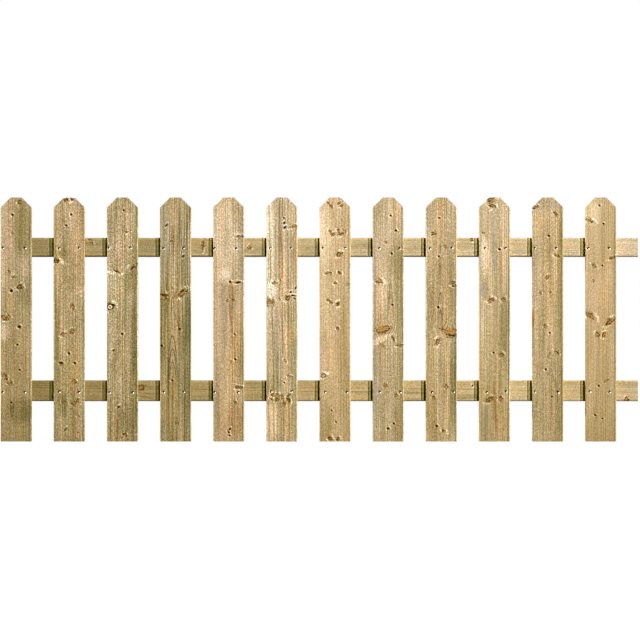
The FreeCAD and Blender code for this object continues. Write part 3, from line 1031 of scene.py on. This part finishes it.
def wear_and_light_edges(wire, colour, timber, on_board, lie):
    """A picket's long edges: paler on both sides from wear and painted highlight, most on the left where the
    edge turns from the light, and a painted shade line by the right.
    """
    across = wire.parts(on_board)["X"]
    edge = lie.width / 2 - EDGE_BAND
    left = wire.span(across, -edge, -edge - 0.6 * EDGE_BAND)
    right = wire.span(across, edge, edge + 0.6 * EDGE_BAND)
    edge_shade = wire.band(across, edge - EDGE_BAND, edge - 0.7 * EDGE_BAND, edge, edge + 0.3 * EDGE_BAND)
    colour = wire.tone(left, colour, timber.left_wear_and_highlight)
    colour = wire.tone(edge_shade, colour, timber.edge_shade)
    return wire.tone(right, colour, timber.wear_and_highlight)


def blank_material(name):
    """A material with no nodes yet, and the wiring that adds them."""
    material = bpy.data.materials.new(name)
    material.use_nodes = True
    material.node_tree.nodes.clear()
    return material, Wiring(material.node_tree)


def timber_material(context, name, board, lie, seed, nail_spots, crossings):
    """The finish of one board, a picket's or, where crossings are given, a rail's."""
    timber = context.scene.fence_timber
    groups = timber_groups(timber)
    material, wire = blank_material(name)
    place = wire.node("ShaderNodeTexCoord", {})
    moved = {
        "Vector": place.outputs["Object"],
        "Location": -(lie.turn @ lie.foot),
        "Rotation": lie.turn.to_euler(),
    }
    on_board = wire.node("ShaderNodeMapping", moved, vector_type="POINT").outputs["Vector"]

    def group(label, values):
        """The outputs of a shared group, placed here with its own values."""
        return wire.node("ShaderNodeGroup", values, node_tree=groups[label]).outputs

    state = {"Board": on_board, "Nearest": (FAR_OFF, 0.0, 0.0), "Kind": (0.0, 0.0, 0.0)}
    for knot in (*board.knots, *nail_spots):
        made = group("Knot", {
            **state,
            **mark_on_board(knot, knot.radius * knot.stretch, knot.radius, knot_slant(knot, board)),
            "Own Kind": KNOT_KINDS[knot.kind],
        })
        state = {key: made[key] for key in state}

    facing = wire.vector("DOT_PRODUCT", place.outputs["Normal"], lie.turn[UP])
    end_grain = wire.span(wire.math("ABSOLUTE", facing), 0.5, 0.75)
    wood = group("Softwood", {
        "Board": state["Board"],
        "Seed": seed,
        "Pith Across": board.pith[0] * MM,
        "Pith Depth": board.pith[1] * MM,
        "Rise": board.rise,
        "Ring": board.ring * MM,
        "Contrast": board.contrast,
        "Fine": (*board.fine, 0.0),
        "Green": board.green,
        "Timber": as_colour(linear(*board.timber)),
        "Length": lie.length,
        "Foot Shade": board.fade[0],
        "Head Shade": board.fade[1],
        "End Grain": end_grain,
    })
    colour = wood["Color"]
    for tint in board.tints:
        colour = group("Tint", {
            "Color": colour,
            "Board": on_board,
            **mark_on_board(tint, tint.half_width, tint.half_height),
            "Tone": as_colour(TINTS[tint.tone]),
            "Share": tint.share,
            "Fray": wood["Fray"],
        })["Color"]
    for arch in board.arches:
        colour = group("Arch", {
            "Color": colour,
            "Board": on_board,
            **mark_on_board(arch, arch.half_width, arch.length),
            "Lines": arch.lines,
            "Share": arch.share,
            "Fray": wood["Fray"],
        })["Color"]
    knotted = group("Knot Finish", {
        "Color": colour,
        "Board": on_board,
        "Nearest": state["Nearest"],
        "Kind": state["Kind"],
    })
    # The rails get painted shade beside the pickets, and the pickets get wear and painted light on their
    # edges.
    if crossings:
        colour = paint_shadows_by_pickets(wire, knotted["Color"], timber, on_board, crossings)
    else:
        colour = wear_and_light_edges(wire, knotted["Color"], timber, on_board, lie)
    height = wire.plus(wood["Height"], knotted["Height"])
    bump = wire.node("ShaderNodeBump", {"Height": height, "Strength": 0.5, "Distance": timber.relief})
    rough = wire.span(wood["Speck"], 0.2, 0.8, 0.62, 0.82)
    surface = wire.node("ShaderNodeBsdfPrincipled", {
        "Base Color": colour,
        "Roughness": rough,
        "Specular IOR Level": 0.08,
        "Normal": bump.outputs["Normal"],
    })
    wire.node("ShaderNodeOutputMaterial", {"Surface": surface.outputs["BSDF"]})
    return material


def edges_along(mesh, axis):
    """The edges that run along one of the panel's axes."""
    found = []
    for edge in mesh.edges:
        way = edge.verts[1].co - edge.verts[0].co
        if abs(way[axis]) > STRAIGHT * way.length:
            found.append(edge)
    return found


def plank(low, high, axis, arris, cell):
    """A planed board along an axis, its long edges eased and its faces divided into cells."""
    mesh = bmesh.new()
    bmesh.ops.create_cube(mesh, size=1.0)
    bmesh.ops.scale(mesh, vec=high - low, verts=mesh.verts)
    bmesh.ops.translate(mesh, vec=(low + high) / 2, verts=mesh.verts)
    bmesh.ops.bevel(
        mesh, geom=edges_along(mesh, axis), offset=arris, offset_type="OFFSET", segments=3, profile=0.5,
        affect="EDGES", material=-1,
    )
    for side in (axis, (axis + 1) % 3, (axis + 2) % 3):
        edges = edges_along(mesh, side)
        longest = max(edge.calc_length() for edge in edges)
        bmesh.ops.subdivide_edges(mesh, edges=edges, cuts=round(longest / cell) - 1, use_grid_fill=True)
    return mesh


def saw_corner(mesh, point, outward):
    """Saws off what lies beyond a plane and closes the cut."""
    cut = bmesh.ops.bisect_plane(
        mesh, geom=[*mesh.verts, *mesh.edges, *mesh.faces], dist=TINY, plane_co=point, plane_no=outward,
        clear_outer=True,
    )
    rim = [item for item in cut["geom_cut"] if isinstance(item, bmesh.types.BMEdge)]
    bmesh.ops.contextual_create(mesh, geom=rim)


def corner_cut_of(node):
    """How much the frame's picket has sawn off its top corners."""
    low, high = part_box(node)
    top = [vert.co.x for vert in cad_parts[node].data.vertices if vert.co.z > high.z - 10 * TINY]
    return ((high.x - low.x) - (max(top) - min(top))) / 2


def radii_away(spot, mark):
    """How far a point of a board is from a mark's middle, along the face and in the mark's radii."""
    return Vector((spot.x - mark.across * MM, spot.z - mark.up * MM)).length / (mark.radius * MM)


def work_in_wear(mesh, board, lie, settings, seed, nail_spots):
    """Bends the board a little, dents and chips its edges, and lets its knots and nails into its face."""
    crook = Random(seed).uniform(-1, 1) * settings.crook
    for vert in mesh.verts:
        spot = lie.to_board(vert.co)
        share = spot.z / lie.length
        edge_gap = lie.width / 2 - abs(spot.x)
        along = spot.z * DENTS_ALONG + seed * DENT_STEP
        dent = noise.noise(Vector((spot.x * DENTS_ACROSS, spot.y * DENTS_ACROSS, along)))
        dent = max(0.0, dent - DENT_ONSET) * settings.wear * max(0.0, 1 - edge_gap / DENT_REACH)
        spot.x -= dent if spot.x > 0 else -dent
        taken = min(1.0, EDGE_BEND + (1 - EDGE_BEND) * edge_gap / EDGE_STRIP)
        spot.x += crook * 4 * share * (1 - share) * taken
        if spot.y < FACE_DEPTH:
            for knot in board.knots:
                away = radii_away(spot, knot) / KNOT_HOLLOW_REACH
                if away < 1:
                    spot.y += KNOT_HOLLOW * (1 - away)
            for nail in nail_spots:
                away = radii_away(spot, nail) / NAIL_HOLLOW_REACH
                if away < 1:
                    spot.y += NAIL_HOLLOW * (1 - away * away)
        for chip in board.chips:
            away = radii_away(spot, chip)
            if away < 1:
                inwards = Vector((-chip.across * MM, 0, -CHIP_AIM)).normalized()
                spot += CHIP_DEPTH * chip.radius * MM * (1 - away) * inwards
        vert.co = lie.to_panel(spot)


def add_piece(name, mesh, material):
    """Turns a finished mesh into a piece that belongs to the panel."""
    for face in mesh.faces:
        face.smooth = True
    for edge in mesh.edges:
        edge.smooth = edge.calc_face_angle(pi) < SHARP_ANGLE
    data = bpy.data.meshes.new(name)
    mesh.to_mesh(data)
    mesh.free()
    data.materials.append(material)
    piece = bpy.data.objects.new(name, data)
    bpy.context.scene.collection.objects.link(piece)
    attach(piece, "root")
    return piece


def finish_board(context, node, mesh, order, board, lie, nail_spots=(), crossings=None):
    """Wears a board, gives it its timber and puts it in the place of its node."""
    work_in_wear(mesh, board, lie, context.scene.fence_pickets, order, nail_spots)
    seed = GRAIN_STEP * (order + 1)
    material = timber_material(context, f"{node}_softwood", board, lie, seed, nail_spots, crossings)
    piece = add_piece(f"{node}_board", mesh, material)
    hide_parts(node)


def picket_name(order):
    """A picket's node, by its order from the left."""
    return f"picket_{order + 1:02d}"


def nail_places(context, order, board, lie):
    """The four nails of a picket, in millimetres on its face: a pair on each rail."""
    drop = context.scene.fence_nails.drop
    scatter = Random(order)
    places = []
    for rail, pair in zip(("top_rail", "bottom_rail"), board.nails):
        low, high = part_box(rail)
        middle = lie.to_board((low + high) / 2).z / MM
        for from_edge in pair:
            up = middle - drop / MM + scatter.uniform(-NAIL_STRAY, NAIL_STRAY)
            places.append((from_edge - lie.width / MM / 2, up))
    return places


def nail_spots_of(context, order, board, lie):
    """The dents by the nails' heads, each with a dark spot of painted shadow."""
    return tuple(
        Knot(across - NAIL_SHADOW_OFFSET, up + NAIL_SHADOW_OFFSET, NAIL_SHADOW_RADIUS, "nail")
        for across, up in nail_places(context, order, board, lie)
    )


class FENCE_OT_pickets(bpy.types.Operator):
    """Add the upright boards, each with its own grain, knots and wear"""

    bl_idname = "fence.pickets"
    bl_label = "Pickets"

    def execute(self, context):
        settings = context.scene.fence_pickets
        for order, board in enumerate(PICKETS):
            node = picket_name(order)
            low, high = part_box(node)
            lie = picket_lie(low, high)
            mesh = plank(low, high, UP, settings.arris, settings.cell)
            cut = corner_cut_of(node)
            for side, edge in ((-1, low.x), (1, high.x)):
                saw_corner(mesh, Vector((edge, lie.foot.y, high.z - cut)), Vector((side, 0, 1)))
            spots = nail_spots_of(context, order, board, lie)
            finish_board(context, node, mesh, order, board, lie, nail_spots=spots)
        return {"FINISHED"}


class FENCE_OT_rails(bpy.types.Operator):
    """Add the two rails behind the pickets"""

    bl_idname = "fence.rails"
    bl_label = "Rails"

    def execute(self, context):
        settings = context.scene.fence_pickets
        first, second, last = (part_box(picket_name(order))[0].x for order in (0, 1, len(PICKETS) - 1))
        crossings = Crossings(first - CAD_LOW.x, last - CAD_LOW.x, second - first)
        for order, (node, board) in enumerate(RAILS.items(), len(PICKETS)):
            low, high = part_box(node)
            mesh = plank(low, high, ACROSS, settings.rail_arris, settings.cell)
            finish_board(
                context, node, mesh, order, board, rail_lie(low, high), crossings=crossings
            )
        return {"FINISHED"}


def nail_material(settings):
    """Dull zinc, spangled and a little stained."""
    material, wire = blank_material("nail_zinc")
    place = wire.node("ShaderNodeTexCoord", {}).outputs["Object"]
    spangle = wire.noise(place, 0.9 * MM, 0.9 * MM, 2.0)
    dark = [0.8 * part for part in settings.steel]
    colour = wire.mix(wire.span(spangle, 0.35, 0.7), settings.steel, dark)
    surface = wire.node("ShaderNodeBsdfPrincipled", {
        "Base Color": colour, "Metallic": 1.0, "Roughness": wire.span(spangle, 0.3, 0.7, 0.35, 0.6),
    })
    wire.node("ShaderNodeOutputMaterial", {"Surface": surface.outputs["BSDF"]})
    return material


def nail_mesh(settings):
    """One nail along Z, turned about its own line: a domed head on a shank that ends in a point."""
    head, shank = settings.head, settings.head * 0.45
    profile = (
        (0, -0.35 * head), (0.6 * head, -0.25 * head), (0.95 * head, 0), (head, 0.15 * head),
        (head, 0.4 * head), (shank, 0.6 * head), (shank, settings.length - 3 * shank), (0, settings.length),
    )
    mesh = bmesh.new()
    verts = [mesh.verts.new((out, 0, along)) for out, along in profile]
    edges = [mesh.edges.new(pair) for pair in zip(verts, verts[1:])]
    bmesh.ops.spin(
        mesh, geom=[*verts, *edges], cent=(0, 0, 0), axis=(0, 0, 1), angle=2 * pi, steps=12, use_merge=True
    )
    bmesh.ops.remove_doubles(mesh, verts=mesh.verts, dist=TINY)
    bmesh.ops.recalc_face_normals(mesh, faces=mesh.faces)
    return mesh


class FENCE_OT_nails(bpy.types.Operator):
    """Add the nails, two where each picket crosses each rail"""

    bl_idname = "fence.nails"
    bl_label = "Nails"

    def execute(self, context):
        settings = context.scene.fence_nails
        one = nail_mesh(settings)
        pattern = bpy.data.meshes.new("nail")
        one.to_mesh(pattern)
        one.free()
        tilt = Random(NAIL_SEED)
        mesh = bmesh.new()
        for order, board in enumerate(PICKETS):
            lie = picket_lie(*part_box(picket_name(order)))
            for across, up in nail_places(context, order, board, lie):
                head = lie.to_panel(Vector((across * MM, settings.sink, up * MM)))
                lean = Euler((-pi / 2 + tilt.gauss(0, NAIL_LEAN), 0, tilt.gauss(0, NAIL_LEAN)))
                driven = Matrix.Translation(head) @ lean.to_matrix().to_4x4()
                before = len(mesh.verts)
                mesh.from_mesh(pattern)
                mesh.verts.ensure_lookup_table()
                bmesh.ops.transform(mesh, matrix=driven, verts=mesh.verts[before:])
        bpy.data.meshes.remove(pattern)
        add_piece("picket_nails", mesh, nail_material(settings))
        return {"FINISHED"}


def studio_rays(wire):
    """One for the rays that should see a white studio: from the camera, in a gloss or through glass."""
    path = wire.node("ShaderNodeLightPath", {}).outputs
    seen = wire.plus(path["Is Camera Ray"], path["Is Glossy Ray"], path["Is Transmission Ray"])
    return wire.math("MINIMUM", seen, 1.0)


def floor_material():
    """White to the eye, darker in the panel's shadow, and a dark grey to the light that it sends back."""
    material, wire = blank_material("studio_floor")
    glow = wire.node("ShaderNodeEmission", {"Color": (1, 1, 1, 1), "Strength": 1 - FLOOR_SHADOW})
    catch = wire.node("ShaderNodeBsdfDiffuse", {"Color": as_colour([FLOOR_SHADOW] * 3)})
    shown = wire.node("ShaderNodeAddShader", {0: glow.outputs[0], 1: catch.outputs[0]})
    bounce = wire.node("ShaderNodeBsdfDiffuse", {"Color": as_colour([FLOOR_BOUNCE] * 3)})
    surface = wire.node(
        "ShaderNodeMixShader", {0: studio_rays(wire), 1: bounce.outputs[0], 2: shown.outputs[0]}
    )
    wire.node("ShaderNodeOutputMaterial", {"Surface": surface.outputs[0]})
    return material


def add_floor(scene):
    """A wide floor at the pickets' feet."""
    mesh = bmesh.new()
    bmesh.ops.create_grid(mesh, x_segments=1, y_segments=1, size=FLOOR_REACH)
    bmesh.ops.translate(mesh, vec=(0, 0, CAD_LOW.z), verts=mesh.verts)
    data = bpy.data.meshes.new("studio_floor")
    mesh.to_mesh(data)
    mesh.free()
    data.materials.append(floor_material())
    floor = bpy.data.objects.new("studio_floor", data)
    scene.collection.objects.link(floor)


def add_air(scene, ambient):
    """A world that is white to the eye and lights the panel only a little."""
    world = bpy.data.worlds.new("studio")
    scene.world = world
    world.use_nodes = True
    world.node_tree.nodes.clear()
    wire = Wiring(world.node_tree)
    strength = wire.pick(studio_rays(wire), ambient, 1.0)
    air = wire.node("ShaderNodeBackground", {"Color": (1, 1, 1, 1), "Strength": strength})
    wire.node("ShaderNodeOutputWorld", {"Surface": air.outputs[0]})


def add_sun(scene, name, strength, azimuth, elevation, softness):
    """A distant lamp. Azimuth 0 is in front of the panel and 90 at its open end; degrees."""
    data = bpy.data.lights.new(name, "SUN")
    data.energy = strength
    data.angle = radians(softness)
    lamp = bpy.data.objects.new(name, data)
    lamp.rotation_euler = Euler((radians(90 - elevation), 0, radians(azimuth)))
    scene.collection.objects.link(lamp)


def add_camera(scene, settings):
    """A camera square on to the pickets."""
    camera = bpy.data.cameras.new("camera")
    camera.sensor_width = 36
    camera.lens = camera.sensor_width * settings.distance / settings.view_width
    eye = bpy.data.objects.new("camera", camera)
    middle = (CAD_LOW + CAD_HIGH) / 2
    eye.location = (middle.x + VIEW_SHIFT, CAD_LOW.y - settings.distance, middle.z - VIEW_SHIFT)
    eye.rotation_euler = (pi / 2, 0, 0)
    scene.collection.objects.link(eye)
    scene.camera = eye


class FENCE_OT_stage(bpy.types.Operator):
    """Add the floor, the lights and the camera"""

    bl_idname = "fence.stage"
    bl_label = "Stage"

    def execute(self, context):
        scene = context.scene
        settings = scene.fence_stage
        scene.view_settings.view_transform = "Standard"
        add_floor(scene)
        add_air(scene, settings.ambient)
        add_sun(scene, "key_light", settings.key, azimuth=37, elevation=35, softness=0.8)
        add_sun(scene, "fill_light", settings.fill, azimuth=18, elevation=30, softness=0.8)
        add_sun(scene, "back_light", settings.back, azimuth=225, elevation=35, softness=6)
        add_camera(scene, settings)
        return {"FINISHED"}


class FENCE_PT_panel(bpy.types.Panel):
    """Lists the steps that dress the fence panel"""

    bl_label = "Picket Fence Panel"
    bl_space_type = "VIEW_3D"
    bl_region_type = "UI"
    bl_category = "Fence"

    def draw(self, context):
        for name, group in SETTINGS:
            box = self.layout.box()
            for setting in group.__annotations__:
                box.prop(getattr(context.scene, name), setting)
        for operator in OPERATORS:
            self.layout.operator(operator.bl_idname)


SETTINGS = (
    ("fence_pickets", PicketSettings),
    ("fence_timber", TimberSettings),
    ("fence_nails", NailSettings),
    ("fence_stage", StageSettings),
)
OPERATORS = (FENCE_OT_pickets, FENCE_OT_rails, FENCE_OT_nails, FENCE_OT_stage)


def register():
    """Adds the settings, the operators and the panel to Blender."""
    for name, settings in SETTINGS:
        bpy.utils.register_class(settings)
        setattr(bpy.types.Scene, name, PointerProperty(type=settings))
    for item in (*OPERATORS, FENCE_PT_panel):
        bpy.utils.register_class(item)


def unregister():
    """Takes them out again."""
    for item in (FENCE_PT_panel, *reversed(OPERATORS)):
        bpy.utils.unregister_class(item)
    for name, settings in reversed(SETTINGS):
        delattr(bpy.types.Scene, name)
        bpy.utils.unregister_class(settings)


def main():
    """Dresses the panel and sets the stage."""
    register()
    bpy.ops.fence.pickets()
    bpy.ops.fence.rails()
    bpy.ops.fence.nails()
    bpy.ops.fence.stage()


if __name__ == "__main__":
    main()
